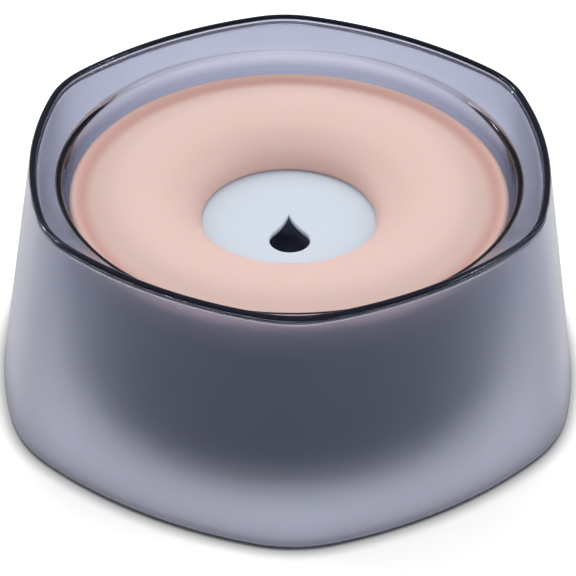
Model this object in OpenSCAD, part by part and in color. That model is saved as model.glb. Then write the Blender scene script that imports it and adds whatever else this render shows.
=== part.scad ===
/* [Bowl] */
// Height of the rim above the surface that the bowl stands on
bowl_h = 88; // [80:1:110]
// Inner diameter of the water basin at its top
basin_d = 160; // [140:1:190]
// Thickness of every wall of the bowl
wall = 2.4; // [1.8:0.1:3]
// How much narrower the basin's radius is at the floor than at the top
basin_draft = 0.8; // [0:0.1:1.2]
// Inside radius between the basin's wall and its floor
basin_corner_r = 11; // [8:0.5:14]
// Height of the basin's underside above the surface
basin_lift = 3; // [2:0.1:5]
// How far the basin's round edge lies below the rim
edge_drop = 8; // [6:0.5:12]
// Radius of the basin's round edge
edge_r = 2; // [1:0.1:3]

/* [Rim] */
// Width of the sloping band between the rim and the basin's edge, at the flats
band_w = 6.6; // [4:0.1:10]
// Width of the rim's rounded bead
bead_w = 2.4; // [2.2:0.1:5]
// Radius of the bead's outer and inner edges
bead_r = 1.1; // [0.6:0.1:1.1]
// How far the bead stands above the sloping band
bead_h = 2; // [1.7:0.1:3]
// How far the rim's corners stand out beyond its flats
rim_rise = 3.9; // [2:0.1:6]
// Radius of the rim's rounded corners
rim_corner_r = 38; // [25:1:55]

/* [Skirt] */
// How far the skirt's foot stands out beyond the rim, at the flats
flare = 14; // [4:0.5:24]
// How far the foot's corners stand out beyond its flats
foot_rise = 4.1; // [2:0.1:6]
// Radius of the foot's rounded corners
foot_corner_r = 51; // [30:1:60]
// Height of the skirt's lower edge above the surface
skirt_lift = 0.6; // [0.3:0.1:1.5]
// Rounding of the skirt's lower edge
skirt_edge_r = 0.8; // [0.4:0.1:0.9]

/* [Float] */
// Gap all round between the float and the top of the basin's wall
float_gap = 2; // [1.5:0.1:5]
// How far the float's outer lip lies below the basin's edge when the bowl is full
float_drop = 8; // [4:0.5:16]
// Thickness of the float's two shells
shell = 1.8; // [1.4:0.1:2.2]
// Height of the float cover's outer side
cover_side_h = 9.5; // [8.5:0.1:12]
// Rounding of the float cover's outer lip
lip_r = 1.5; // [0.8:0.1:1.8]
// Width of the outer lip, from the side to the bottom of the valley
valley_in = 5; // [3.5:0.1:7]
// Depth of the valley just inside the outer lip
valley_depth = 1.4; // [0.5:0.1:2]
// Distance of the broad crest from the float's side
crest_in = 18; // [12:0.5:24]
// Height of the broad crest above the outer lip
crest_h = 1.2; // [0:0.1:2.5]
// How far the funnel's curve runs level from the crest before it dips
funnel_run = 18; // [14:0.5:20]
// How far the funnel's throat stands out from the opening
throat_out = 1.8; // [1:0.1:3]
// Height of the funnel's steep throat above the opening's edge
throat_h = 6.7; // [4:0.1:8]
// Diameter of the central opening in the float cover
opening_d = 62.4; // [50:0.2:72]
// Depth of the drinking plate below the float's outer lip
plate_drop = 13.5; // [11.5:0.1:16]
// How far the hull's underside lies below the drinking plate's top
hull_depth = 3.5; // [3:0.1:6]
// Radius of the hull's lower corner
hull_corner_r = 7; // [5:0.5:7]

/* [Float seams] */
// Thickness of the two silicone seals in the float
seal_h = 1; // [0.6:0.1:1.4]
// Fit between the cover and the hull at the outer seam
seam_gap = 0.1; // [0.05:0.05:0.2]
// How far the top of the hull's wall lies below the float's outer lip
hull_top_drop = 5.9; // [5.5:0.1:6.2]
// How far the snap bead stands out from the cover's side
snap_h = 0.4; // [0.2:0.05:0.5]
// How far the snap bead lies below the top of the hull's wall
snap_drop = 2.4; // [2:0.1:2.6]
// How far the inner seal stands back from the opening
seal_back = 0.5; // [0.2:0.1:0.8]

/* [Drop hole] */
// Width of the drop-shaped hole in the drinking plate
drop_w = 14.4; // [8:0.2:17]
// Length of the drop-shaped hole
drop_l = 22.6; // [20:0.2:26]
// Distance of the hole's round end from the middle of the plate
drop_shift = 11.6; // [6:0.2:14]
// Radius of the drop's hollow flanks
drop_flank_r = 33; // [20:1:60]

/* [Foot pads] */
// Diameter of a pad
pad_d = 16; // [10:0.5:20]
// Distance of the pads from the round corner of the basin
pad_margin = 4; // [1:0.5:20]
// Depth of the sockets that hold the pads
socket_depth = 1; // [0.6:0.1:1.2]
// Fit of a pad in its socket, on the radius
socket_gap = 0.1; // [0.05:0.05:0.3]
// Rounding of a pad's lower edge
pad_edge_r = 1; // [0.4:0.1:1.6]

/* [Hidden] */
$fn = 96;

// Fine steps of curves
outline_n = 96;
arc_n = 8;
curve_n = 12;

// Bowl levels and radii
edge_z = bowl_h - edge_drop;
basin_r = basin_d / 2;
basin_low_r = basin_r - basin_draft;
floor_z = basin_lift + wall;
rim_flat_r = basin_r + edge_r + band_w + bead_w;
foot_flat_r = rim_flat_r + flare;
edge_round = min(edge_r, 0.85 * wall);
wall_middle_r = basin_r + wall / 2;
ceiling_dip = 1.25 * wall;

// An outline is [distance to the flats, rise of the corners, corner radius]
rim_outline = [rim_flat_r, rim_rise, rim_corner_r];
foot_outline = [foot_flat_r, foot_rise, foot_corner_r];

// Float levels and radii
float_r = basin_r - float_gap;
lip_z = edge_z - float_drop;
side_z = lip_z - cover_side_h;
valley_r = float_r - valley_in;
valley_z = lip_z - valley_depth;
crest_r = float_r - crest_in;
crest_z = lip_z + crest_h;
opening_r = opening_d / 2;
plate_z = lip_z - plate_drop;
hull_z = plate_z - hull_depth;
cover_foot_z = plate_z + seal_h;
cover_in_r = float_r - shell;
hull_r = cover_in_r - seam_gap;
hull_top_z = lip_z - hull_top_drop;
outer_seal_z = hull_top_z + seal_h;
snap_z = hull_top_z - snap_drop;
inner_seal_r = opening_r + seal_back;
upstand_r = inner_seal_r + shell + seam_gap;
upstand_h = 1.5 * seal_h;

// Foot pads
pad_n = 6;
pad_r = pad_d / 2;
pad_h = basin_lift + socket_depth;
pad_ring_r = basin_low_r - basin_corner_r - pad_margin - pad_r;

function mix(a, b, t) = a + (b - a) * t;

// Points of an arc about c, from angle a0 to angle a1
function arc(c, r, a0, a1, n = arc_n) =
    [for (i = [0:n]) let (a = mix(a0, a1, i / n)) [c[0] + r * cos(a), c[1] + r * sin(a)]];

// A soft step from p to q, level at both ends
function wave(p, q, n = curve_n) =
    [for (i = [1:n]) let (t = i / n) [mix(p[0], q[0], t), mix(p[1], q[1], (1 - cos(180 * t)) / 2)]];

// A cubic curve with its ends at p and s, pulled towards q and r
function cubic(p, q, r, s, n = curve_n) =
    [for (i = [1:n]) let (t = i / n, u = 1 - t)
        u * u * u * p + 3 * u * u * t * q + 3 * u * t * t * r + t * t * t * s];

function unit(v) = v / norm(v);

// The same curve moved sideways by w, to its left
function beside(pts, w) = let (last = len(pts) - 1)
    [for (i = [0:last])
        let (v = unit(pts[min(i + 1, last)] - pts[max(i - 1, 0)])) pts[i] + w * [-v[1], v[0]]];

function reverse(pts) = [for (i = [len(pts) - 1:-1:0]) pts[i]];

// Distance from the axis to a six-sided outline with bowed sides and round corners.
// One flat faces +X and one corner faces +Y.
function outline_r(o, angle) = let (
        turn = abs(angle) % 60,
        s = min(turn, 60 - turn),
        corner_at = o[0] + o[1] - o[2],
        inner = o[0] - o[2],
        back = (inner * inner - corner_at * corner_at) / (2 * (corner_at * cos(30) - inner)),
        side_r = back + o[0],
        v = unit([corner_at * cos(30) + back, corner_at * sin(30)]),
        join = atan2(side_r * v[1], side_r * v[0] - back)
    )
    s < join
        ? sqrt(side_r * side_r - pow(back * sin(s), 2)) - back * cos(s)
        : corner_at * cos(30 - s) + sqrt(o[2] * o[2] - pow(corner_at * sin(30 - s), 2));

function ring(o, z) = [for (i = [0:outline_n - 1])
    let (angle = 360 * i / outline_n, r = outline_r(o, angle)) [r * cos(angle), r * sin(angle), z]];

// An outline moved inwards by w
function inset(o, w) = [o[0] - w, o[1], o[2] - w];

// A round outline
function round_outline(r) = [r, 0, r / 2];

// The skirt's outer outline at height z
function skirt(z) = mix(foot_outline, rim_outline, (z - skirt_lift) / (bowl_h - skirt_lift));

// Closed skin through a list of rings, the last joined to the first
module loft(rings) {
    count = len(rings);
    points = [for (ring_points = rings) each ring_points];
    faces = [for (j = [0:count - 1], i = [0:outline_n - 1])
        let (
            k = (i + 1) % outline_n,
            low = j * outline_n,
            high = ((j + 1) % count) * outline_n
        )
        each [[low + i, high + i, low + k], [low + k, high + i, high + k]]];
    polyhedron(points, faces);
}

// Skirt, rim bead and sloping band: one wall that goes up, over and down to the basin
module skirt_and_rim() {
    bead_outer = arc([bead_r, bowl_h - bead_r], bead_r, 180, 90, arc_n);
    bead_inner = arc([bead_w - bead_r, bowl_h - bead_r], bead_r, 90, 0, arc_n);
    foot_outer = arc([skirt_edge_r, skirt_lift + skirt_edge_r], skirt_edge_r, 270, 180, 3);
    foot_inner = arc([wall - skirt_edge_r, skirt_lift + skirt_edge_r], skirt_edge_r, 0, -90, 3);
    band_z = bowl_h - bead_h;
    ceiling_z = band_z - ceiling_dip;
    loft([
        for (p = foot_outer) ring(inset(skirt(p[1]), p[0]), p[1]),
        for (p = bead_outer) ring(inset(skirt(p[1]), p[0]), p[1]),
        for (p = bead_inner) ring(inset(rim_outline, p[0]), p[1]),
        ring(inset(rim_outline, bead_w), band_z),
        // The band dips into the basin's wall just outside the crown of its round edge
        ring(round_outline(basin_r + 1.25 * edge_round), edge_z + edge_round / 10),
        ring(round_outline(wall_middle_r), edge_z - 0.7 * edge_round),
        ring(round_outline(wall_middle_r), edge_z - ceiling_dip - wall / 2),
        ring(inset(skirt(ceiling_z), wall), ceiling_z),
        for (p = foot_inner) ring(inset(skirt(p[1]), p[0]), p[1])
    ]);
}

module basin() {
    low_corner = [basin_low_r - basin_corner_r, floor_z + basin_corner_r];
    rotate_extrude()
        polygon(concat(
            [[0, floor_z]],
            arc(low_corner, basin_corner_r, -90, 0),
            arc([basin_r + edge_round, edge_z - edge_round], edge_round, 180, 60),
            [[basin_r + wall, edge_z - edge_round]],
            arc(low_corner, basin_corner_r + wall, 0, -90),
            [[0, basin_lift]]
        ));
}

module at_pad(i) {
    rotate(30 + 60 * i)
        translate([pad_ring_r, 0, 0])
            children();
}

// Skirt, rim and basin, moulded in one smoke-coloured piece
module bowl_body() {
    color([0.36, 0.38, 0.47])
        difference() {
            union() {
                skirt_and_rim();
                basin();
            }
            for (i = [1:pad_n])
                at_pad(i)
                    cylinder(h = pad_h, r = pad_r + socket_gap);
        }
}

// Upper side of the float, from the lip to the opening
function cover_top() = concat(
    arc([float_r - lip_r, lip_z - lip_r], lip_r, 0, 90),
    wave([float_r - lip_r, lip_z], [valley_r, valley_z]),
    wave([valley_r, valley_z], [crest_r, crest_z]),
    cubic(
        [crest_r, crest_z],
        [crest_r - funnel_run, crest_z],
        [opening_r + throat_out, cover_foot_z + throat_h],
        [opening_r, cover_foot_z]
    )
);

// Peach upper shell of the float
module float_cover() {
    top = cover_top();
    step_r = cover_in_r - shell;
    under = [for (p = beside(top, shell)) if (p[0] < step_r && p[1] > cover_foot_z) p];
    snap_bead = [
        [cover_in_r, snap_z + 2 * snap_h],
        [cover_in_r - snap_h, snap_z + 2 * snap_h],
        [cover_in_r - snap_h, snap_z],
        [cover_in_r, snap_z]
    ];
    color([0.9, 0.77, 0.73])
        rotate_extrude()
            polygon(concat(
                [[float_r, side_z]],
                top,
                [[opening_r + shell, cover_foot_z]],
                reverse(under),
                // Step that presses on the outer seal
                [[step_r, under[0][1]], [step_r, outer_seal_z], [cover_in_r, outer_seal_z]],
                snap_bead,
                [[cover_in_r, side_z]]
            ));
}

// A drop: a round end, and two hollow flanks that meet at its tip, towards +Y
module drop_outline() {
    r = drop_w / 2;
    tip = drop_l - r;
    to_flank = r + drop_flank_r;
    flank_y = (to_flank * to_flank + tip * tip - drop_flank_r * drop_flank_r) / (2 * tip);
    flank_x = sqrt(to_flank * to_flank - flank_y * flank_y);
    leave = atan2(flank_y, flank_x);
    meet = atan2(flank_y - tip, flank_x);
    right = arc([flank_x, flank_y], drop_flank_r, leave - 180, meet - 180, curve_n);
    left = [for (p = reverse(right)) [-p[0], p[1]]];
    polygon(concat(
        arc([0, 0], r, -180 - leave, leave, outline_n / 3),
        [for (i = [1:curve_n]) right[i]],
        [for (i = [1:curve_n - 1]) left[i]]
    ));
}

// Pale lower shell of the float, whose middle is the drinking plate
module float_hull() {
    corner = [hull_r - hull_corner_r, hull_z + hull_corner_r];
    color([0.82, 0.86, 0.91])
        difference() {
            rotate_extrude()
                difference() {
                    union() {
                        // Bottom, round corner and outer wall
                        polygon(concat(
                            [[upstand_r, hull_z]],
                            arc(corner, hull_corner_r, -90, 0),
                            [[hull_r, hull_top_z], [hull_r - shell, hull_top_z]],
                            arc(corner, hull_corner_r - shell, 0, -90),
                            [[upstand_r, hull_z + shell]]
                        ));
                        // Drinking plate
                        translate([0, plate_z - shell])
                            square([upstand_r + shell, shell]);
                        // Rise from the bottom to the plate, and the upstand round the inner seal
                        translate([upstand_r, hull_z])
                            square([shell, hull_depth + upstand_h]);
                    }
                    // Groove for the snap bead
                    translate([hull_r - snap_h, snap_z - seam_gap])
                        square([2 * snap_h, 2 * (snap_h + seam_gap)]);
                }
            translate([0, -drop_shift, hull_z])
                linear_extrude(hull_depth + upstand_h)
                    drop_outline();
        }
}

module flat_ring(r, w, z) {
    color([0.3, 0.3, 0.36])
        translate([0, 0, z])
            difference() {
                cylinder(h = seal_h, r = r + w);
                translate([0, 0, -1])
                    cylinder(h = seal_h + 2, r = r);
            }
}

// Silicone ring squeezed between the hull's wall and the cover
module float_outer_seal() {
    flat_ring(hull_r - shell, shell, hull_top_z);
}

// Silicone ring between the drinking plate and the cover's opening
module float_inner_seal() {
    flat_ring(inner_seal_r, shell, plate_z);
}

// Anti-slip pad, glued into its socket under the basin's floor
module foot_pad(i) {
    color([0.2, 0.2, 0.22])
        at_pad(i)
            rotate_extrude()
                polygon(concat(
                    [[0, 0]],
                    arc([pad_r - pad_edge_r, pad_edge_r], pad_edge_r, -90, 0),
                    [[pad_r, pad_h], [0, pad_h]]
                ));
}

bowl_body();
float_cover();
float_hull();
float_outer_seal();
float_inner_seal();
for (i = [1:pad_n])
    foot_pad(i);
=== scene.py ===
import math

import bpy
from mathutils import Matrix, Vector


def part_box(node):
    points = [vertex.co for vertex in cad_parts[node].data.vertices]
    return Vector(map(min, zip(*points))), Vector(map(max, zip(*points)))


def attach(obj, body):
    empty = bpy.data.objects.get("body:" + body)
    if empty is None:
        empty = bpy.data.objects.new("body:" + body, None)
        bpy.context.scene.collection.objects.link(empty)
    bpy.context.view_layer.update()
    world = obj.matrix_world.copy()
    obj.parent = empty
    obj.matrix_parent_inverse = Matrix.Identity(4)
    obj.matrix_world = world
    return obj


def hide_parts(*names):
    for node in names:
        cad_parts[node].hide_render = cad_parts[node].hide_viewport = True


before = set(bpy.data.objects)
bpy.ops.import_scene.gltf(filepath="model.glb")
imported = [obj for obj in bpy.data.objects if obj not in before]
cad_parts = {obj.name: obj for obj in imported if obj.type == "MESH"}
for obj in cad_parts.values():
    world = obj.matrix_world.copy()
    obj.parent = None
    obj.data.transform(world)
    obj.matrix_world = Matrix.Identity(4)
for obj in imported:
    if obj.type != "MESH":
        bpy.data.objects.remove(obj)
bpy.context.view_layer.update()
print("frame loaded:", len(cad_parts), "nodes")

mm = 0.001  # sizes below are in millimetres
ringPoints = 288  # points round every turned or moulded ring, a multiple of six


def boxInMm(node):
    low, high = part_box(node)
    return low / mm, high / mm


bowlHigh = boxInMm("bowl_body")[1]
coverLow, coverHigh = boxInMm("float_cover")
hullLow, hullHigh = boxInMm("float_hull")
outerSealLow, outerSealHigh = boxInMm("float_outer_seal")
innerSealLow, innerSealHigh = boxInMm("float_inner_seal")


# Curves in a section, as lists of (radius, height)

def mixValue(a, b, t):
    return a + (b - a) * t


def fadeBelow(height, start, run):
    # 0 above start, 1 from a run below it
    return min(1, max(0, (start - height) / run))


def arcPoints(centre, radius, fromAngle, toAngle, steps):
    points = []
    for i in range(steps + 1):
        angle = math.radians(mixValue(fromAngle, toAngle, i / steps))
        points.append((centre[0] + radius * math.cos(angle), centre[1] + radius * math.sin(angle)))
    return points


def linePoints(start, end, steps):
    # without the two ends
    return [(mixValue(start[0], end[0], i / steps), mixValue(start[1], end[1], i / steps))
            for i in range(1, steps)]


def softStep(start, end, steps):
    # level at both ends
    points = []
    for i in range(1, steps + 1):
        t = i / steps
        lift = (1 - math.cos(math.pi * t)) / 2
        points.append((mixValue(start[0], end[0], t), mixValue(start[1], end[1], lift)))
    return points


def cubicPoints(p, q, r, s, steps):
    points = []
    for i in range(1, steps + 1):
        t = i / steps
        u = 1 - t
        weights = (u ** 3, 3 * u * u * t, 3 * u * t * t, t ** 3)
        points.append(tuple(sum(w * c[k] for w, c in zip(weights, (p, q, r, s))) for k in (0, 1)))
    return points


def offsetPoints(points, width):
    # the same curve moved to its left
    moved = []
    for i, point in enumerate(points):
        before = Vector(points[max(i - 1, 0)])
        after = Vector(points[min(i + 1, len(points) - 1)])
        along = (after - before).normalized()
        moved.append((point[0] - along.y * width, point[1] + along.x * width))
    return moved


# Outlines seen from above

def sixSided(flat, rise, cornerRadius):
    # distance from the axis, for a hexagon with bowed sides and round corners
    cornerAt = flat + rise - cornerRadius
    inner = flat - cornerRadius
    cos30 = math.cos(math.radians(30))
    back = (inner ** 2 - cornerAt ** 2) / (2 * (cornerAt * cos30 - inner))
    sideRadius = back + flat
    toJoin = Vector((cornerAt * cos30 + back, cornerAt / 2)).normalized()
    join = math.atan2(sideRadius * toJoin.y, sideRadius * toJoin.x - back)

    def radiusAt(angle):
        turn = abs(angle) % math.radians(60)
        turn = min(turn, math.radians(60) - turn)
        if turn < join:
            return math.sqrt(sideRadius ** 2 - (back * math.sin(turn)) ** 2) - back * math.cos(turn)
        rest = math.radians(30) - turn
        return cornerAt * math.cos(rest) + math.sqrt(cornerRadius ** 2 - (cornerAt * math.sin(rest)) ** 2)

    return radiusAt


def roundOutline(radius):
    return lambda angle: radius


def blendOutline(one, two, t):
    return lambda angle: mixValue(one(angle), two(angle), t)


def outlineRing(outline, height):
    ring = []
    for i in range(ringPoints):
        angle = math.tau * i / ringPoints
        radius = outline(angle)
        ring.append((radius * math.cos(angle), radius * math.sin(angle), height))
    return ring


# Skin over a list of rings, with its values for the materials

def skinOver(name, rings, closed, values=None):
    # closed: the last ring joins the first; otherwise both ends run to a pole on the axis
    count = len(rings[0])
    points = [Vector(p) * mm for ring in rings for p in ring]
    faces = []
    last = len(rings) if closed else len(rings) - 1
    for j in range(last):
        low = j * count
        high = (j + 1) % len(rings) * count
        for i in range(count):
            k = (i + 1) % count
            faces.append((low + i, low + k, high + k, high + i))
    if not closed:
        for ring, first in ((0, True), (len(rings) - 1, False)):
            pole = len(points)
            base = ring * count
            points.append(sum((points[base + i] for i in range(count)), Vector()) / count)
            for i in range(count):
                k = (i + 1) % count
                faces.append((pole, base + k, base + i) if first else (pole, base + i, base + k))
    mesh = bpy.data.meshes.new(name)
    mesh.from_pydata([tuple(p) for p in points], [], faces)
    for title, perRing in (values or {}).items():
        layer = mesh.attributes.new(title, "FLOAT", "POINT")
        spread = [v for v in perRing for i in range(count)]
        if not closed:
            spread += [perRing[0], perRing[-1]]
        layer.data.foreach_set("value", spread)
    mesh.validate()
    mesh.update()
    mesh.shade_smooth()
    piece = bpy.data.objects.new(name, mesh)
    bpy.context.scene.collection.objects.link(piece)
    return piece


def turnedRings(section):
    return [outlineRing(roundOutline(r), z) for r, z in section]


# Node helpers

class NodeDesk:
    # lays nodes in a tree and links them by name
    def __init__(self, tree):
        self.tree = tree

    def add(self, kind, settings=None, **inputs):
        node = self.tree.nodes.new(kind)
        for key, value in (settings or {}).items():
            setattr(node, key, value)
        for key, value in inputs.items():
            self.feed(node.inputs[key], value)
        return node

    def feed(self, socket, value):
        if isinstance(value, bpy.types.NodeSocket):
            self.tree.links.new(value, socket)
        else:
            socket.default_value = value

    def maths(self, operation, one, two=0.5, clamp=False):
        node = self.add("ShaderNodeMath", {"operation": operation, "use_clamp": clamp})
        self.feed(node.inputs[0], one)
        self.feed(node.inputs[1], two)
        return node.outputs[0]

    def mixColour(self, factor, one, two, blend="MIX"):
        node = self.add("ShaderNodeMix", {"data_type": "RGBA", "blend_type": blend})
        self.feed(node.inputs[0], factor)
        self.feed(node.inputs[6], one)
        self.feed(node.inputs[7], two)
        return node.outputs[2]

    def mixNumber(self, factor, one, two):
        node = self.add("ShaderNodeMix", {"data_type": "FLOAT"})
        self.feed(node.inputs[0], factor)
        self.feed(node.inputs[2], one)
        self.feed(node.inputs[3], two)
        return node.outputs[0]


def newGroup(name, inputs, outputs):
    group = bpy.data.node_groups.new(name, "ShaderNodeTree")
    for title, kind, value in inputs:
        socket = group.interface.new_socket(name=title, in_out="INPUT", socket_type=kind)
        if value is not None:
            socket.default_value = value
    for title, kind in outputs:
        group.interface.new_socket(name=title, in_out="OUTPUT", socket_type=kind)
    desk = NodeDesk(group)
    return group, desk, desk.add("NodeGroupInput").outputs, desk.add("NodeGroupOutput").inputs


# What the two shared groups have in common
shared = {
    "grainDetail": (3.0, 0.6),  # noise detail and roughness
    "cloudDetail": (2.0, 0.45),
    "markBend": 0.012,
    "markWidth": 0.012,
    "patchScale": 0.7,
    "patchFrom": 0.72,
}


def mouldGrainGroup():
    # fine texture of a mould's surface, and the soft cloudiness of the plastic
    group, desk, given, made = newGroup(
        "mouldGrain",
        [("Grain Size", "NodeSocketFloat", 0.4), ("Cloud Size", "NodeSocketFloat", 30.0)],
        [("Grain", "NodeSocketFloat"), ("Cloud", "NodeSocketFloat")])
    place = desk.add("ShaderNodeTexCoord").outputs["Object"]
    grainScale = desk.maths("DIVIDE", 1 / mm, given["Grain Size"])
    cloudScale = desk.maths("DIVIDE", 1 / mm, given["Cloud Size"])
    fine, soft = shared["grainDetail"], shared["cloudDetail"]
    grain = desk.add("ShaderNodeTexNoise", Vector=place, Scale=grainScale, Detail=fine[0], Roughness=fine[1])
    cloud = desk.add("ShaderNodeTexNoise", Vector=place, Scale=cloudScale, Detail=soft[0], Roughness=soft[1])
    desk.feed(made["Grain"], grain.outputs["Fac"])
    desk.feed(made["Cloud"], cloud.outputs["Fac"])
    return group


def wearMarksGroup():
    # a few faint hairline marks from handling, as a mask from 0 to 1
    group, desk, given, made = newGroup(
        "wearMarks",
        [("Mark Length", "NodeSocketFloat", 12.0), ("Share", "NodeSocketFloat", 0.06)],
        [("Marks", "NodeSocketFloat")])
    place = desk.add("ShaderNodeTexCoord").outputs["Object"]
    scale = desk.maths("DIVIDE", 1 / mm, given["Mark Length"])
    bend = desk.add("ShaderNodeTexNoise", Vector=place, Scale=scale, Detail=1.0)
    bent = desk.add("ShaderNodeVectorMath", {"operation": "MULTIPLY_ADD"})
    desk.feed(bent.inputs[0], bend.outputs["Color"])
    desk.feed(bent.inputs[1], (shared["markBend"],) * 3)
    desk.feed(bent.inputs[2], place)
    cells = desk.add("ShaderNodeTexVoronoi", {"feature": "DISTANCE_TO_EDGE"}, Scale=scale)
    desk.feed(cells.inputs["Vector"], bent.outputs[0])
    thin = desk.maths("LESS_THAN", cells.outputs["Distance"], shared["markWidth"])
    wide = desk.maths("MULTIPLY", scale, shared["patchScale"])
    where = desk.add("ShaderNodeTexNoise", Vector=place, Scale=wide, Detail=1.0)
    least = desk.maths("SUBTRACT", shared["patchFrom"], given["Share"])
    patches = desk.maths("GREATER_THAN", where.outputs["Fac"], least)
    desk.feed(made["Marks"], desk.maths("MULTIPLY", thin, patches))
    return group


mouldGrain = mouldGrainGroup()
wearMarks = wearMarksGroup()


def newMaterial(name):
    material = bpy.data.materials.new(name)
    material.use_nodes = True
    material.node_tree.nodes.clear()
    desk = NodeDesk(material.node_tree)
    shader = desk.add("ShaderNodeBsdfPrincipled")
    output = desk.add("ShaderNodeOutputMaterial", Surface=shader.outputs[0])
    return material, desk, shader, output


def placeGroup(desk, group, **inputs):
    node = desk.add("ShaderNodeGroup", {"node_tree": group})
    for key, value in inputs.items():
        desk.feed(node.inputs[key], value)
    return node.outputs


def placeGrain(desk, look):
    return placeGroup(desk, mouldGrain, **{"Grain Size": look["grainSize"], "Cloud Size": look["cloudSize"]})


def placeMarks(desk, look):
    values = {"Mark Length": look["markLength"], "Share": look["markShare"]}
    return placeGroup(desk, wearMarks, **values)["Marks"]


def cloudyColour(desk, grain, look, colour):
    factor = desk.maths("MULTIPLY", grain["Cloud"], look["cloudShare"])
    return desk.mixColour(factor, colour, look["cloudColour"], "MULTIPLY")


def unevenRoughness(desk, grain, spread, base):
    around = desk.maths("SUBTRACT", grain["Grain"], 0.5)
    uneven = desk.maths("MULTIPLY_ADD", around, spread)
    desk.feed(uneven.node.inputs[2], base)
    return uneven


def raiseGrain(desk, shader, height, depth):
    bump = desk.add("ShaderNodeBump", Distance=depth * mm, Strength=1.0)
    desk.feed(bump.inputs["Height"], height)
    desk.feed(shader.inputs["Normal"], bump.outputs[0])


# Smoke plastic of the bowl
smoke = {
    "tint": (0.93, 0.935, 0.955, 1),  # what one wall's two faces let through
    "frostTint": (0.92, 0.935, 1.0, 1),
    # painted shade: the deep tint laid on the bead and where the basin and band should fall dark
    "rimTint": (0.12, 0.14, 0.27, 1),
    "glossTint": (0.72, 0.81, 1, 1),  # of the reflections seen head on
    "transmission": 1.0,
    "specular": 0.5,
    # the bead's own material: less mirror and a little diffuse, so its painted dark tint shows
    "rimSpecular": 0.4,
    "rimTransmission": 0.955,
    "baseSpecular": 0.03,  # keeps the basin's low corner from mirroring the floor
    "wallLoss": (0.185, 0.18, 0.13),  # share of light that one wall takes, in red, green and blue
    "glossRoughness": 0.045,
    "frostRoughness": 0.30,
    "roughnessSpread": 0.08,
    "grainSize": 0.35,
    "grainDepth": 0.012,
    "cloudSize": 45.0,
    "cloudShare": 0.12,
    "cloudColour": (0.72, 0.74, 0.8, 1),
    "markLength": 16.0,
    "markShare": 0.05,
    "markRoughness": 0.2,
    "ior": 1.5,
}


def smokePlastic(name, wall, specular, transmission):
    material, desk, shader, output = newMaterial(name)
    grain = placeGrain(desk, smoke)
    marks = placeMarks(desk, smoke)
    frost = desk.add("ShaderNodeAttribute", {"attribute_name": "frost"}).outputs["Fac"]
    # painted shade: this value deepens the tint towards the dark tint
    rim = desk.add("ShaderNodeAttribute", {"attribute_name": "rim"}).outputs["Fac"]
    skin = desk.mixColour(frost, smoke["tint"], smoke["frostTint"])
    tint = desk.mixColour(rim, skin, smoke["rimTint"])
    desk.feed(shader.inputs["Base Color"], cloudyColour(desk, grain, smoke, tint))
    satin = desk.mixNumber(frost, smoke["glossRoughness"], smoke["frostRoughness"])
    uneven = unevenRoughness(desk, grain, smoke["roughnessSpread"], satin)
    worn = desk.maths("MULTIPLY", marks, smoke["markRoughness"])
    desk.feed(shader.inputs["Roughness"], desk.maths("MAXIMUM", uneven, worn))
    raiseGrain(desk, shader, desk.maths("MULTIPLY", grain["Grain"], frost), smoke["grainDepth"])
    shader.inputs["IOR"].default_value = smoke["ior"]
    shader.inputs["Metallic"].default_value = 0
    shader.inputs["Transmission Weight"].default_value = transmission
    shader.inputs["Specular IOR Level"].default_value = specular
    shader.inputs["Specular Tint"].default_value = smoke["glossTint"]
    loss = [-math.log(1 - share) / (wall * mm) for share in smoke["wallLoss"]]
    density = max(loss)
    inside = desk.add("ShaderNodeVolumeAbsorption", Density=density)
    inside.inputs["Color"].default_value = [1 - part / density for part in loss] + [1]
    desk.feed(output.inputs["Volume"], inside.outputs[0])
    return material


# Bowl: skirt, rim, band and basin in one moulding
bowl = {
    "wall": 2.4,
    "basinRadius": 80.0,
    "basinDraft": 0.8,
    "basinCorner": 11.0,
    "basinLift": 3.0,
    "edgeDrop": 8.0,
    "edgeRadius": 2.0,
    "edgeTurn": 84.0,  # where the round edge ends, in degrees
    "rimFlat": 91.0,
    "rimRise": 3.9,
    "rimCorner": 38.0,
    "footFlat": 104.99,
    "footRise": 4.1,
    "footCorner": 51.0,
    "footEdge": 0.8,
    "footLift": 0.6,
    "footRow": 0.5,
    "paintedFootShadow": (0.48, 0.2),  # how far in and from how far down the painted shadow line at the foot reaches
    "beadWidth": 2.4,
    "beadRadius": 1.1,
    "beadHeight": 2.0,
    "rimBand": 1.5,  # how far the glossy rim reaches down the skirt
    "rimRows": (0.5, 0.1, -0.1),  # close rows where the glossy rim ends
    "bandStart": (0.75, 0.45),  # from the middle of the round edge, outwards and up
    "bandSink": 0.15,
    "fillet": 0.5,
    "edgeThickness": 1.1,
    "bandThickness": 1.2,
    "cornerDrops": (1.0, 0.8, 0.55, 0.5),  # close rows keep the corner under the band crisp
    "cornerIn": (0.15, 0.4),
    "joinOut": 0.4,  # where the band's underside meets the basin's wall
    "joinUp": 0.25,
    "joinDown": 0.3,
    "wallTop": 1.9,  # the basin's wall is thinner at its top
    "wallTaper": 9.0,
    "taperStep": 0.1,
    "socketGap": 0.1,
    "plugDrop": 2.0,
}

# Where the plastic is frosted, and where painted shade deepens its tint: bead, band, basin walls, corner and
# base
bowlFrostAndPaintedShade = {
    # levels of painted shade, from 0 to 1, from here down to footInside
    "wall": 0.66,
    "corner": 0.92,
    "inside": 0.5,
    "clearWall": 0.12,
    "base": 0.5,
    "band": 0.34,
    "fillet": 0.4,
    "paintedFootShadow": 0.9,
    "footInside": 0.3,
    "footFrost": 0.3,
    "cornerFrom": 38.0,
    "wallFrom": 79.0,
    "frostFrom": 76.0,
    "wallFade": 6.0,
    "clearFrom": 60.0,  # below this the basin's inside turns to frost
    "clearFade": 15.0,
    "rimFrom": 0.97,  # faces whose points all have more painted shade than this are the glossy rim
    "baseMargin": 0.5,
    "baseNormal": -0.05,  # faces under the basin that look down more than this are its base
}


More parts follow.
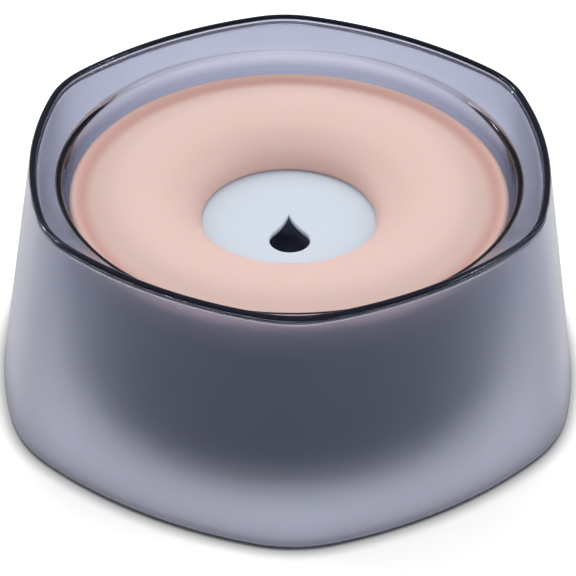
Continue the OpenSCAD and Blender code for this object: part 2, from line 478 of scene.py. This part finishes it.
def bowlRings():
    b, shades = bowl, bowlFrostAndPaintedShade
    rimZ = bowlHigh.z
    wall = b["wall"]
    skirtLow = b["footLift"]

    def skirt(z, inwards):
        t = (z - skirtLow) / (rimZ - skirtLow)
        return sixSided(mixValue(b["footFlat"], b["rimFlat"], t) - inwards,
                        mixValue(b["footRise"], b["rimRise"], t),
                        mixValue(b["footCorner"], b["rimCorner"], t) - inwards)

    def rimLine(inwards):
        return sixSided(b["rimFlat"] - inwards, b["rimRise"], b["rimCorner"] - inwards)

    rows = []  # outline, height, frost, painted shade

    # the last value is painted shade, which deepens the plastic's tint
    def lay(outline, z, frost=0.0, rim=0.0):
        rows.append((outline, z, frost, rim))

    # Floor and wall of the basin, from the middle outwards, with painted shade in its inner corner and up
    # its wall
    floorZ = b["basinLift"] + wall
    lowRadius = b["basinRadius"] - b["basinDraft"]
    edgeZ = rimZ - b["edgeDrop"]
    corner = (lowRadius - b["basinCorner"], floorZ + b["basinCorner"])
    cornerRun = shades["cornerFrom"] - corner[1]
    for i in range(1, 12):
        lay(roundOutline(corner[0] * i / 12), floorZ, 1)
    for r, z in arcPoints(corner, b["basinCorner"], -90, 0, 12):
        lay(roundOutline(r), z, 1, shades["inside"])
    wallEnd = (b["basinRadius"], edgeZ - b["edgeRadius"])
    for r, z in linePoints((lowRadius, corner[1]), wallEnd, 16):
        low = fadeBelow(z, shades["cornerFrom"], cornerRun)
        frost = fadeBelow(z, shades["clearFrom"], shades["clearFade"])
        lay(roundOutline(r), z, frost, max(shades["inside"] * low, shades["clearWall"]))
    edgeCentre = (b["basinRadius"] + b["edgeRadius"], edgeZ - b["edgeRadius"])
    for r, z in arcPoints(edgeCentre, b["edgeRadius"], 180, b["edgeTurn"], 10):
        lay(roundOutline(r), z)

    # Band from the round edge up to the six-sided rim, its tint darkened by painted shade
    bandRadius, bandLow = edgeCentre[0] + b["bandStart"][0], edgeZ + b["bandStart"][1]
    bandZ = rimZ - b["beadHeight"]
    for i in range(15):
        t = i / 14
        lay(blendOutline(roundOutline(bandRadius), rimLine(b["beadWidth"] + b["fillet"]), t),
            mixValue(bandLow, bandZ - b["bandSink"], t), 0, shades["band"])
    for r, z in arcPoints((-b["fillet"], bandZ + b["fillet"]), b["fillet"], -60, 0, 5):
        lay(rimLine(b["beadWidth"] - r), z, 0, shades["fillet"])

    # Bead, over the top and down its outer side, painted fully dark
    top = rimZ - b["beadRadius"]
    for r, z in arcPoints((b["beadWidth"] - b["beadRadius"], top), b["beadRadius"], 0, 90, 10):
        lay(rimLine(r), z, 0, 1)
    for r, z in arcPoints((b["beadRadius"], top), b["beadRadius"], 90, 180, 10):
        lay(skirt(z, r), z, 0, 1)
    rimEnd = rimZ - b["rimBand"]
    for step in b["rimRows"][:2]:
        lay(skirt(rimEnd + step, 0), rimEnd + step, 0, 1)

    # Outer face of the skirt, its foot and its inner face, with a painted shadow line along the foot's outer
    # edge and painted shade on its inner edge
    footTop = skirtLow + b["footEdge"]
    for i in range(26):
        z = mixValue(rimEnd + b["rimRows"][2], footTop + b["footRow"], i / 25)
        lay(skirt(z, 0), z, 1)
    for r, z in arcPoints((b["footEdge"], footTop), b["footEdge"], 180, 270, 6):
        # painted shadow: a dark line along the foot's outer edge
        inFootShadow = r < b["paintedFootShadow"][0] and z < footTop - b["paintedFootShadow"][1]
        lay(skirt(z, r), z, shades["footFrost"], shades["paintedFootShadow"] if inFootShadow else 0)
    for r, z in arcPoints((wall - b["footEdge"], footTop), b["footEdge"], -90, 0, 6):
        lay(skirt(z, r), z, shades["footFrost"], shades["footInside"])
    ceilingZ = bandZ - b["bandThickness"]
    for i in range(1, 25):
        z = mixValue(footTop, ceilingZ - b["cornerDrops"][0], i / 24)
        lay(skirt(z, wall), z, 1)
    cornerLow, cornerMid, cornerTop = [ceilingZ - drop for drop in b["cornerDrops"][1:]]
    lay(skirt(cornerLow, wall), cornerLow, 1)
    lay(skirt(ceilingZ, wall + b["cornerIn"][0]), cornerMid, 1, shades["band"])

    # Underside of the band, then the basin's outer wall and underside, all with painted shade, deepest at
    # the basin's low corner
    thinRadius = b["basinRadius"] + b["wallTop"]
    meetZ = edgeZ - b["edgeThickness"]
    underRim = skirt(ceilingZ, wall + b["cornerIn"][1])
    underEdge = roundOutline(thinRadius + b["joinOut"])
    for i in range(9):
        t = i / 8
        z = mixValue(cornerTop, meetZ + b["joinUp"], t)
        lay(blendOutline(underRim, underEdge, t), z, 1, shades["band"])
    thinTop = (thinRadius, meetZ - b["joinDown"])
    thinEnd = (b["basinRadius"] + wall - b["taperStep"], meetZ - b["wallTaper"])
    outerLow = (lowRadius + wall, corner[1])
    lay(roundOutline(thinRadius), thinTop[1])
    for r, z in linePoints(thinTop, thinEnd, 6) + [thinEnd] + linePoints(thinEnd, outerLow, 12):
        deep = fadeBelow(z, shades["wallFrom"], shades["wallFade"])
        low = fadeBelow(z, shades["cornerFrom"], cornerRun)
        frost = fadeBelow(z, shades["frostFrom"], shades["wallFade"])
        lay(roundOutline(r), z, frost, mixValue(shades["wall"] * deep, shades["corner"], low))
    for r, z in arcPoints(corner, b["basinCorner"] + wall, 0, -90, 14):
        lay(roundOutline(r), z, 1, shades["corner"])
    for i in range(11, 0, -1):
        lay(roundOutline(corner[0] * i / 12), b["basinLift"], 1, shades["base"])
    return rows


def cutSockets(body):
    # one tool mesh with six round plugs, cut from the underside
    points, faces = [], []
    sides = 96
    for node in sorted(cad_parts):
        if not node.startswith("foot_pad_"):
            continue
        low, high = boxInMm(node)
        centre = (low + high) / 2
        radius = (high.x - low.x) / 2 + bowl["socketGap"]
        base = len(points)
        for z in (bowl["basinLift"] - bowl["plugDrop"], high.z):
            for i in range(sides):
                angle = math.tau * i / sides
                points.append(((centre.x + radius * math.cos(angle)) * mm,
                               (centre.y + radius * math.sin(angle)) * mm, z * mm))
        faces.append(tuple(base + i for i in reversed(range(sides))))
        faces.append(tuple(base + sides + i for i in range(sides)))
        for i in range(sides):
            k = (i + 1) % sides
            faces.append((base + i, base + k, base + sides + k, base + sides + i))
    mesh = bpy.data.meshes.new("socketPlugs")
    mesh.from_pydata(points, [], faces)
    plugs = bpy.data.objects.new("socketPlugs", mesh)
    bpy.context.scene.collection.objects.link(plugs)
    cut = body.modifiers.new("sockets", "BOOLEAN")
    cut.operation = "DIFFERENCE"
    cut.solver = "EXACT"
    cut.object = plugs
    bpy.context.view_layer.update()
    finished = bpy.data.meshes.new_from_object(body.evaluated_get(bpy.context.evaluated_depsgraph_get()))
    body.modifiers.clear()
    body.data = finished
    bpy.data.objects.remove(plugs)


def makeBowl():
    rows = bowlRings()
    rings = [outlineRing(outline, z) for outline, z, frost, rim in rows]
    values = {"frost": [row[2] for row in rows], "rim": [row[3] for row in rows]}
    body = skinOver("smokeBowl", rings, False, values)
    cutSockets(body)
    looks = [("smokePlastic", smoke["specular"], smoke["transmission"]),
             ("smokeRim", smoke["rimSpecular"], smoke["rimTransmission"]),
             ("smokeBase", smoke["baseSpecular"], smoke["transmission"])]
    body.data.materials.clear()
    for title, specular, transmission in looks:
        body.data.materials.append(smokePlastic(title, bowl["wall"], specular, transmission))
    # faces wholly in full painted shade are the bead
    rimValues = body.data.attributes["rim"].data
    basinReach = bowl["basinRadius"] + bowl["wall"] + bowlFrostAndPaintedShade["baseMargin"]
    for face in body.data.polygons:
        middle = face.center / mm
        underBasin = middle.z < bowlFrostAndPaintedShade["cornerFrom"] and middle.xy.length < basinReach
        if min(rimValues[i].value for i in face.vertices) > bowlFrostAndPaintedShade["rimFrom"]:
            face.material_index = 1
        elif underBasin and face.normal.z < bowlFrostAndPaintedShade["baseNormal"]:
            face.material_index = 2
    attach(body, "bowl")
    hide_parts("bowl_body")
    print("bowl made:", len(body.data.polygons), "faces")


makeBowl()


# Peach plastic of the float's cover
peach = {
    "colour": (0.77, 0.56, 0.51, 1),
    # painted shade: a deeper colour laid in the valley and round the opening
    "paintedHollowColour": (0.60, 0.32, 0.28, 1),
    "paintedHollowShare": 0.75,
    "roughness": 0.48,
    "roughnessSpread": 0.12,
    "grainSize": 0.25,
    "grainDepth": 0.006,
    "cloudSize": 35.0,
    "cloudShare": 0.1,
    "cloudColour": (0.93, 0.86, 0.83, 1),
    "markLength": 14.0,
    "markShare": 0.04,
    "markPolish": 0.06,
    "ior": 1.46,
    "glowWeight": 0.25,  # light that wanders under the surface
    "glowRadius": (1.0, 0.45, 0.35),
    "glowScale": 2.0,
}


def peachPlastic():
    material, desk, shader, output = newMaterial("peachPlastic")
    grain = placeGrain(desk, peach)
    marks = placeMarks(desk, peach)
    # painted shade in the hollows, from the section's values
    hollow = desk.add("ShaderNodeAttribute", {"attribute_name": "hollow"}).outputs["Fac"]
    deep = desk.maths("MULTIPLY", hollow, peach["paintedHollowShare"])
    colour = desk.mixColour(deep, peach["colour"], peach["paintedHollowColour"])
    desk.feed(shader.inputs["Base Color"], cloudyColour(desk, grain, peach, colour))
    uneven = unevenRoughness(desk, grain, peach["roughnessSpread"], peach["roughness"])
    polished = desk.maths("MULTIPLY", marks, peach["markPolish"])
    desk.feed(shader.inputs["Roughness"], desk.maths("SUBTRACT", uneven, polished))
    raiseGrain(desk, shader, grain["Grain"], peach["grainDepth"])
    shader.inputs["IOR"].default_value = peach["ior"]
    shader.inputs["Subsurface Weight"].default_value = peach["glowWeight"]
    shader.inputs["Subsurface Radius"].default_value = peach["glowRadius"]
    shader.inputs["Subsurface Scale"].default_value = peach["glowScale"] * mm
    return material


# Float cover
cover = {
    "shell": 1.8,
    "lipRadius": 1.5,
    "valleyIn": 5.0,
    "valleyDepth": 1.4,
    "crestIn": 18.0,
    "crestHeight": 1.2,
    "funnelRun": 18.0,
    "throatOut": 1.8,
    "throatHeight": 6.7,
    "sealStep": 0.5,  # how far the inner seal stands back from the opening
    "snapHeight": 0.4,
    "snapDrop": 2.4,
    "rippleHeight": 0.24,
    "rippleAt": (38.0, 49.0, 62.0),  # radii of the faint hollows in the broad crest
    "rippleWidth": 4.5,
    "sideDrop": 4.6,  # from the outer seal's top to the side's lower edge
    "throatShade": (0.5, 7.5, 9.0),  # painted shade round the opening: share, height, reach
    "valleyShade": (0.6, 2.6, 3.0),  # painted shade in the valley: shift, width, depth
}


def coverSection():
    c = cover
    outer = coverHigh.x
    lipZ = coverHigh.z - c["crestHeight"]
    sideZ = outerSealHigh.z - c["sideDrop"]
    footZ = coverLow.z
    opening = innerSealHigh.x - c["shell"] - c["sealStep"]
    valley = (outer - c["valleyIn"], lipZ - c["valleyDepth"])
    crest = (outer - c["crestIn"], lipZ + c["crestHeight"])
    top = arcPoints((outer - c["lipRadius"], lipZ - c["lipRadius"]), c["lipRadius"], 0, 90, 10)
    top += softStep((outer - c["lipRadius"], lipZ), valley, 16)
    top += softStep(valley, crest, 24)
    top += cubicPoints(crest, (crest[0] - c["funnelRun"], crest[1]),
                       (opening + c["throatOut"], footZ + c["throatHeight"]), (opening, footZ), 44)
    shown = []
    for r, z in top:
        dip = sum(math.exp(-((r - at) / c["rippleWidth"]) ** 2) for at in c["rippleAt"])
        shown.append((r, z - c["rippleHeight"] * dip))
    inRadius = outer - c["shell"]
    stepRadius = inRadius - c["shell"]
    sealTop = outerSealHigh.z
    snapZ = outerSealLow.z - c["snapDrop"]
    snap = c["snapHeight"]
    under = [p for p in offsetPoints(top, c["shell"]) if p[0] < stepRadius and p[1] > footZ]
    section = [(outer, sideZ)] + linePoints((outer, sideZ), shown[0], 6) + shown
    section += [(opening + c["shell"], footZ)] + list(reversed(under))
    section += [(stepRadius, under[0][1]), (stepRadius, sealTop), (inRadius, sealTop)]
    section += [(inRadius, snapZ + 2 * snap), (inRadius - snap, snapZ + 2 * snap),
                (inRadius - snap, snapZ), (inRadius, snapZ), (inRadius, sideZ)]
    share, throatHeight, throatReach = c["throatShade"]
    shift, valleyWidth, valleyDepth = c["valleyShade"]
    # how much painted shade each point of the section takes
    hollow = []
    for r, z in section:
        inThroat = share * max(0.0, 1 - abs(z - footZ) / throatHeight) if r < opening + throatReach else 0.0
        inValley = math.exp(-((r - valley[0] - shift) / valleyWidth) ** 2) if z > lipZ - valleyDepth else 0.0
        hollow.append(min(1.0, max(inThroat, inValley)))
    return section, hollow


def makeCover():
    section, hollow = coverSection()
    piece = skinOver("peachCover", turnedRings(section), True, {"hollow": hollow})
    piece.data.materials.append(peachPlastic())
    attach(piece, "float")
    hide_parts("float_cover")
    print("cover made:", len(piece.data.polygons), "faces")


makeCover()


# Pale plastic of the float's hull and its drinking plate
pale = {
    "colour": (0.62, 0.695, 0.785, 1),
    "paintedShadeColour": (0.07, 0.09, 0.185, 1),  # painted shade: a darker copy of the pale colour for the float's body below its plate
    "roughness": 0.34,
    "roughnessSpread": 0.1,
    "grainSize": 0.3,
    "grainDepth": 0.003,
    "cloudSize": 28.0,
    "cloudShare": 0.1,
    "cloudColour": (0.86, 0.9, 0.96, 1),
    "markLength": 10.0,
    "markShare": 0.05,
    "markRoughness": 0.1,
    "ior": 1.48,
}


def palePlastic(name, colour):
    material, desk, shader, output = newMaterial(name)
    grain = placeGrain(desk, pale)
    marks = placeMarks(desk, pale)
    desk.feed(shader.inputs["Base Color"], cloudyColour(desk, grain, pale, colour))
    uneven = unevenRoughness(desk, grain, pale["roughnessSpread"], pale["roughness"])
    worn = desk.maths("MULTIPLY", marks, pale["markRoughness"])
    desk.feed(shader.inputs["Roughness"], desk.maths("ADD", uneven, worn))
    raiseGrain(desk, shader, grain["Grain"], pale["grainDepth"])
    shader.inputs["IOR"].default_value = pale["ior"]
    return material


# Float hull
hull = {
    "shell": 1.8,
    "cornerRadius": 7.0,
    "upstand": 1.5,
    "plateBevel": 0.3,
    "sealGap": 0.1,
    "snapGap": 0.1,
    "snapHeight": 0.4,
    "snapDrop": 2.4,
    "dropWidth": 14.4,
    "dropLength": 22.6,
    "dropShift": 11.6,
    "dropFlank": 33.0,
    "dropEdge": 0.6,  # rounding of the hole's edge
}


def dropOutline():
    # a round end and two hollow flanks that meet at the tip, towards +Y, as even steps along the line
    h = hull
    r = h["dropWidth"] / 2
    tip = h["dropLength"] - r
    toFlank = r + h["dropFlank"]
    flankY = (toFlank ** 2 + tip ** 2 - h["dropFlank"] ** 2) / (2 * tip)
    flankX = math.sqrt(toFlank ** 2 - flankY ** 2)
    leave = math.degrees(math.atan2(flankY, flankX))
    meet = math.degrees(math.atan2(flankY - tip, flankX))
    flank = arcPoints((flankX, flankY), h["dropFlank"], meet - 180, leave - 180, 60)
    half = flank + arcPoints((0, 0), r, leave, -90, 120)[1:]
    lengths = [0.0]
    for a, b in zip(half, half[1:]):
        lengths.append(lengths[-1] + math.dist(a, b))
    count = ringPoints // 2
    even = []
    at = 0
    for i in range(count + 1):
        want = lengths[-1] * i / count
        while at < len(half) - 2 and lengths[at + 1] < want:
            at += 1
        span = lengths[at + 1] - lengths[at]
        t = (want - lengths[at]) / span
        even.append(tuple(mixValue(half[at][k], half[at + 1][k], t) for k in (0, 1)))
    left = [(-x, y) for x, y in reversed(even[1:-1])]
    return list(reversed(even + left))


def hullRings():
    h = hull
    plateZ = innerSealLow.z
    low, top = hullLow.z, hullHigh.z
    outer = hullHigh.x
    inner = innerSealHigh.x + h["sealGap"]  # inner face of the upstand
    shell = h["shell"]
    drop = dropOutline()
    angles = [math.atan2(y, x) for x, y in drop]

    def circle(radius, z):
        return [(radius * math.cos(a), radius * math.sin(a), z) for a in angles]

    def holeLine(width, z):
        # the drop's outline moved outwards
        ring = []
        for i, point in enumerate(drop):
            before, after = Vector(drop[i - 1]), Vector(drop[(i + 1) % len(drop)])
            along = (after - before).normalized()
            ring.append((point[0] + along.y * width, point[1] - along.x * width - h["dropShift"], z))
        return ring

    def spread(start, end, steps):
        return [[tuple(mixValue(p[k], q[k], i / steps) for k in (0, 1, 2)) for p, q in zip(start, end)]
                for i in range(steps)]

    edge = h["dropEdge"]
    bevel = h["plateBevel"]
    rings = []
    for angle in range(90, 0, -15):
        turn = math.radians(angle)
        rings.append(holeLine(edge * (1 - math.sin(turn)), plateZ - edge * (1 - math.cos(turn))))
    rings += spread(holeLine(edge, plateZ), circle(inner - bevel, plateZ), 20)
    corner = (outer - h["cornerRadius"], low + h["cornerRadius"])
    snapLow = top - h["snapDrop"] - h["snapGap"]
    snapHigh = snapLow + 2 * (h["snapHeight"] + h["snapGap"])
    section = [(inner - bevel, plateZ), (inner, plateZ + bevel), (inner, plateZ + h["upstand"]),
               (inner + shell, plateZ + h["upstand"]), (inner + shell, plateZ - shell),
               (inner + shell, low + shell)]
    section += linePoints((inner + shell, low + shell), (corner[0], low + shell), 6)
    section += arcPoints(corner, h["cornerRadius"] - shell, -90, 0, 8)
    section += [(outer - shell, top), (outer, top), (outer, snapHigh), (outer - h["snapHeight"], snapHigh),
                (outer - h["snapHeight"], snapLow), (outer, snapLow)]
    section += arcPoints(corner, h["cornerRadius"], 0, -90, 14)
    section += linePoints((corner[0], low), (inner, low), 8)
    section += [(inner, low), (inner, low + shell), (inner, plateZ - shell)]
    rings += [circle(r, z) for r, z in section]
    rings += spread(circle(inner, plateZ - shell), holeLine(0, plateZ - shell), 8)[1:]
    rings.append(holeLine(0, plateZ - shell))
    rings.append(holeLine(0, plateZ - shell / 2 - edge / 2))
    return rings


def makeHull():
    rings = hullRings()
    piece = skinOver("paleHull", rings, True)
    piece.data.materials.append(palePlastic("palePlastic", pale["colour"]))
    piece.data.materials.append(palePlastic("palePaintedShade", pale["paintedShadeColour"]))
    # the plate and the well under it are pale; the rest takes the darker copy, a painted shade
    plateReach = innerSealHigh.x + 2 * hull["sealGap"]
    for face in piece.data.polygons:
        reach = max(piece.data.vertices[i].co.xy.length / mm for i in face.vertices)
        face.material_index = 0 if reach < plateReach else 1
    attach(piece, "float")
    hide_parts("float_hull")
    print("hull made:", len(piece.data.polygons), "faces")


makeHull()


# Silicone of the seals and foot pads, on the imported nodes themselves
silicone = {
    "sealColour": (0.50, 0.42, 0.41, 1),
    "padColour": (0.30, 0.31, 0.36, 1),
    "roughness": 0.62,
    "roughnessSpread": 0.15,
    "grainSize": 0.2,
    "grainDepth": 0.01,
    "cloudSize": 12.0,
    "dustShare": 0.25,
    "dustColour": (0.16, 0.16, 0.17, 1),
    "ior": 1.42,
}


def siliconeRubber(name, colour):
    material, desk, shader, output = newMaterial(name)
    grain = placeGrain(desk, silicone)
    dusty = desk.maths("MULTIPLY", grain["Cloud"], silicone["dustShare"])
    desk.feed(shader.inputs["Base Color"], desk.mixColour(dusty, colour, silicone["dustColour"]))
    uneven = unevenRoughness(desk, grain, silicone["roughnessSpread"], silicone["roughness"])
    desk.feed(shader.inputs["Roughness"], uneven)
    raiseGrain(desk, shader, grain["Grain"], silicone["grainDepth"])
    shader.inputs["IOR"].default_value = silicone["ior"]
    return material


sealSilicone = siliconeRubber("sealSilicone", silicone["sealColour"])
padSilicone = siliconeRubber("padSilicone", silicone["padColour"])
for title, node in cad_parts.items():
    if title.startswith("foot_pad_"):
        node.material_slots[0].material = padSilicone
    elif title.endswith("_seal"):
        node.material_slots[0].material = sealSilicone
print("seals and pads finished")


# Studio: floor, world, lamps and camera
studio = {
    "floorColour": (0.95, 0.95, 0.95, 1),
    "floorSize": 6.0,  # half its side, in metres
    "floorRoughness": 0.9,
    "floorLift": 0.35,  # added white that only the camera sees
    "contactReach": 5.5,  # painted contact shadow of the floor where the bowl stands
    "contactDepth": 1.5,
    "cavityReach": 16.0,  # painted shadow on the floor under the bowl, seen through it
    "cavityDepth": 0.9,
    "glassLift": 0.29,  # added white of the floor through glass and in mirrors
    "worldLevel": 0.69,
    "mirrorLevel": 0.2,
    "glintFade": 2.5,
    "glints": [
        # soft bright patches that only mirrors see: direction, half width and height, strength
        ((-0.80, 0.36, 0.52), 0.50, 0.45, 2.2),
        ((-0.79, 0.25, 0.56), 0.12, 0.14, 30.0),
        ((-0.80, 0.48, 0.36), 0.12, 0.14, 60.0),
        ((0.80, 0.05, 0.56), 0.50, 0.40, 1.6),
        ((0.77, -0.10, 0.63), 0.28, 0.12, 36.0),
    ],
    "lamps": [
        # name, place in metres, aim, size, strength in watts
        ("softboxLeft", (-1.4, 0.6, 0.95), (0, 0, 0.05), (0.6, 1.0), 6),
        ("softboxRight", (1.4, -0.25, 1.1), (0, 0, 0.05), (0.6, 1.0), 6),
        ("softboxBack", (0, 1.4, 1.45), (0, 0, 0), (1.2, 1.2), 13),
    ],
}


def makeFloor():
    size = studio["floorSize"]
    corners = [(-size, -size, 0), (size, -size, 0), (size, size, 0), (-size, size, 0)]
    mesh = bpy.data.meshes.new("studioFloor")
    mesh.from_pydata(corners, [], [(0, 1, 2, 3)])
    floor = bpy.data.objects.new("studioFloor", mesh)
    bpy.context.scene.collection.objects.link(floor)
    material, desk, shader, output = newMaterial("studioFloor")
    path = desk.add("ShaderNodeLightPath").outputs
    behindGlass = desk.maths("MAXIMUM", path["Is Glossy Ray"], path["Is Transmission Ray"])
    # painted shadow: occlusion nodes darken the floor's colour and its added white close to the bowl
    contactShadow = desk.add("ShaderNodeAmbientOcclusion", Distance=studio["contactReach"] * mm)
    near = desk.maths("POWER", contactShadow.outputs["AO"], studio["contactDepth"])
    cavityShadow = desk.add("ShaderNodeAmbientOcclusion", Distance=studio["cavityReach"] * mm)
    under = desk.maths("POWER", cavityShadow.outputs["AO"], studio["cavityDepth"])
    direct = desk.maths("MULTIPLY", path["Is Camera Ray"], studio["floorLift"])
    inside = desk.maths("MULTIPLY", behindGlass, studio["glassLift"])
    lift = desk.maths("ADD", desk.maths("MULTIPLY", direct, near), desk.maths("MULTIPLY", inside, under))
    desk.feed(shader.inputs["Base Color"], desk.mixColour(near, (0, 0, 0, 1), studio["floorColour"]))
    shader.inputs["Roughness"].default_value = studio["floorRoughness"]
    shader.inputs["Specular IOR Level"].default_value = 0
    shader.inputs["Emission Color"].default_value = (1, 1, 1, 1)
    desk.feed(shader.inputs["Emission Strength"], lift)
    mesh.materials.append(material)


def makeWorld():
    world = bpy.data.worlds.new("studioWorld")
    world.use_nodes = True
    world.node_tree.nodes.clear()
    desk = NodeDesk(world.node_tree)
    path = desk.add("ShaderNodeLightPath").outputs
    seen = desk.maths("MAXIMUM", path["Is Camera Ray"], path["Is Transmission Ray"])
    toSky = desk.add("ShaderNodeTexCoord").outputs["Generated"]
    mirror = studio["mirrorLevel"]
    for aim, halfWidth, halfHeight, strength in studio["glints"]:
        back = Vector(aim).normalized()
        side = Vector((0, 0, 1)).cross(back).normalized()
        across = desk.add("ShaderNodeVectorMath", {"operation": "DOT_PRODUCT"})
        desk.feed(across.inputs[0], toSky)
        desk.feed(across.inputs[1], side / halfWidth)
        upwards = desk.add("ShaderNodeVectorMath", {"operation": "DOT_PRODUCT"})
        desk.feed(upwards.inputs[0], toSky)
        desk.feed(upwards.inputs[1], back.cross(side) / halfHeight)
        ahead = desk.add("ShaderNodeVectorMath", {"operation": "DOT_PRODUCT"})
        desk.feed(ahead.inputs[0], toSky)
        desk.feed(ahead.inputs[1], back)
        squares = [desk.maths("POWER", part.outputs["Value"], 2) for part in (across, upwards)]
        reach = desk.maths("SQRT", desk.maths("ADD", *squares))
        soft = desk.maths("POWER", desk.maths("SUBTRACT", 1, reach, clamp=True), studio["glintFade"])
        front = desk.maths("GREATER_THAN", ahead.outputs["Value"], 0)
        glow = desk.maths("MULTIPLY", desk.maths("MULTIPLY", soft, front), strength)
        mirror = desk.maths("ADD", mirror, glow)
    unseen = desk.mixNumber(path["Is Glossy Ray"], studio["worldLevel"], mirror)
    level = desk.mixNumber(seen, unseen, 1.0)
    back = desk.add("ShaderNodeBackground", Color=(1, 1, 1, 1), Strength=level)
    desk.add("ShaderNodeOutputWorld", Surface=back.outputs[0])
    bpy.context.scene.world = world


def aimed(place, aim):
    back = (Vector(place) - Vector(aim)).normalized()
    side = Vector((0, 0, 1)).cross(back).normalized()
    if side.length < 0.5:
        side = Vector((1, 0, 0))
    up = back.cross(side)
    turn = Matrix((side, up, back)).transposed().to_4x4()
    return Matrix.Translation(place) @ turn


def makeLamps():
    for name, place, aim, size, power in studio["lamps"]:
        data = bpy.data.lights.new(name, "AREA")
        data.shape = "RECTANGLE"
        data.size, data.size_y = size
        data.energy = power
        lamp = bpy.data.objects.new(name, data)
        lamp.matrix_world = aimed(place, aim)
        lamp.visible_glossy = False  # the world's glints stand for the lamps in mirrors
        bpy.context.scene.collection.objects.link(lamp)


camera = {
    "sensor": 36.0,
    "clip": (0.05, 20.0),  # metres
    "lens": 149.41,
    "distance": 874.5,
    "elevation": 0.6502,  # radians
    "azimuth": -0.0291,
    "roll": 0.0116,
    "target": (-0.073, 0.0, 28.235),
}


def makeCamera():
    c = camera
    azimuth, elevation = c["azimuth"], c["elevation"]
    back = Vector((math.sin(azimuth) * math.cos(elevation), -math.cos(azimuth) * math.cos(elevation),
                   math.sin(elevation)))
    flatRight = Vector((math.cos(azimuth), math.sin(azimuth), 0))
    flatUp = back.cross(flatRight)
    right = flatRight * math.cos(c["roll"]) + flatUp * math.sin(c["roll"])
    up = flatUp * math.cos(c["roll"]) - flatRight * math.sin(c["roll"])
    place = (Vector(c["target"]) + back * c["distance"]) * mm
    data = bpy.data.cameras.new("mainCamera")
    data.sensor_width = c["sensor"]
    data.lens = c["lens"]
    data.clip_start, data.clip_end = c["clip"]
    eye = bpy.data.objects.new("mainCamera", data)
    eye.matrix_world = Matrix.Translation(place) @ Matrix((right, up, back)).transposed().to_4x4()
    bpy.context.scene.collection.objects.link(eye)
    bpy.context.scene.camera = eye


makeFloor()
makeWorld()
makeLamps()
makeCamera()
bpy.context.scene.view_settings.view_transform = "Standard"
print("studio set")
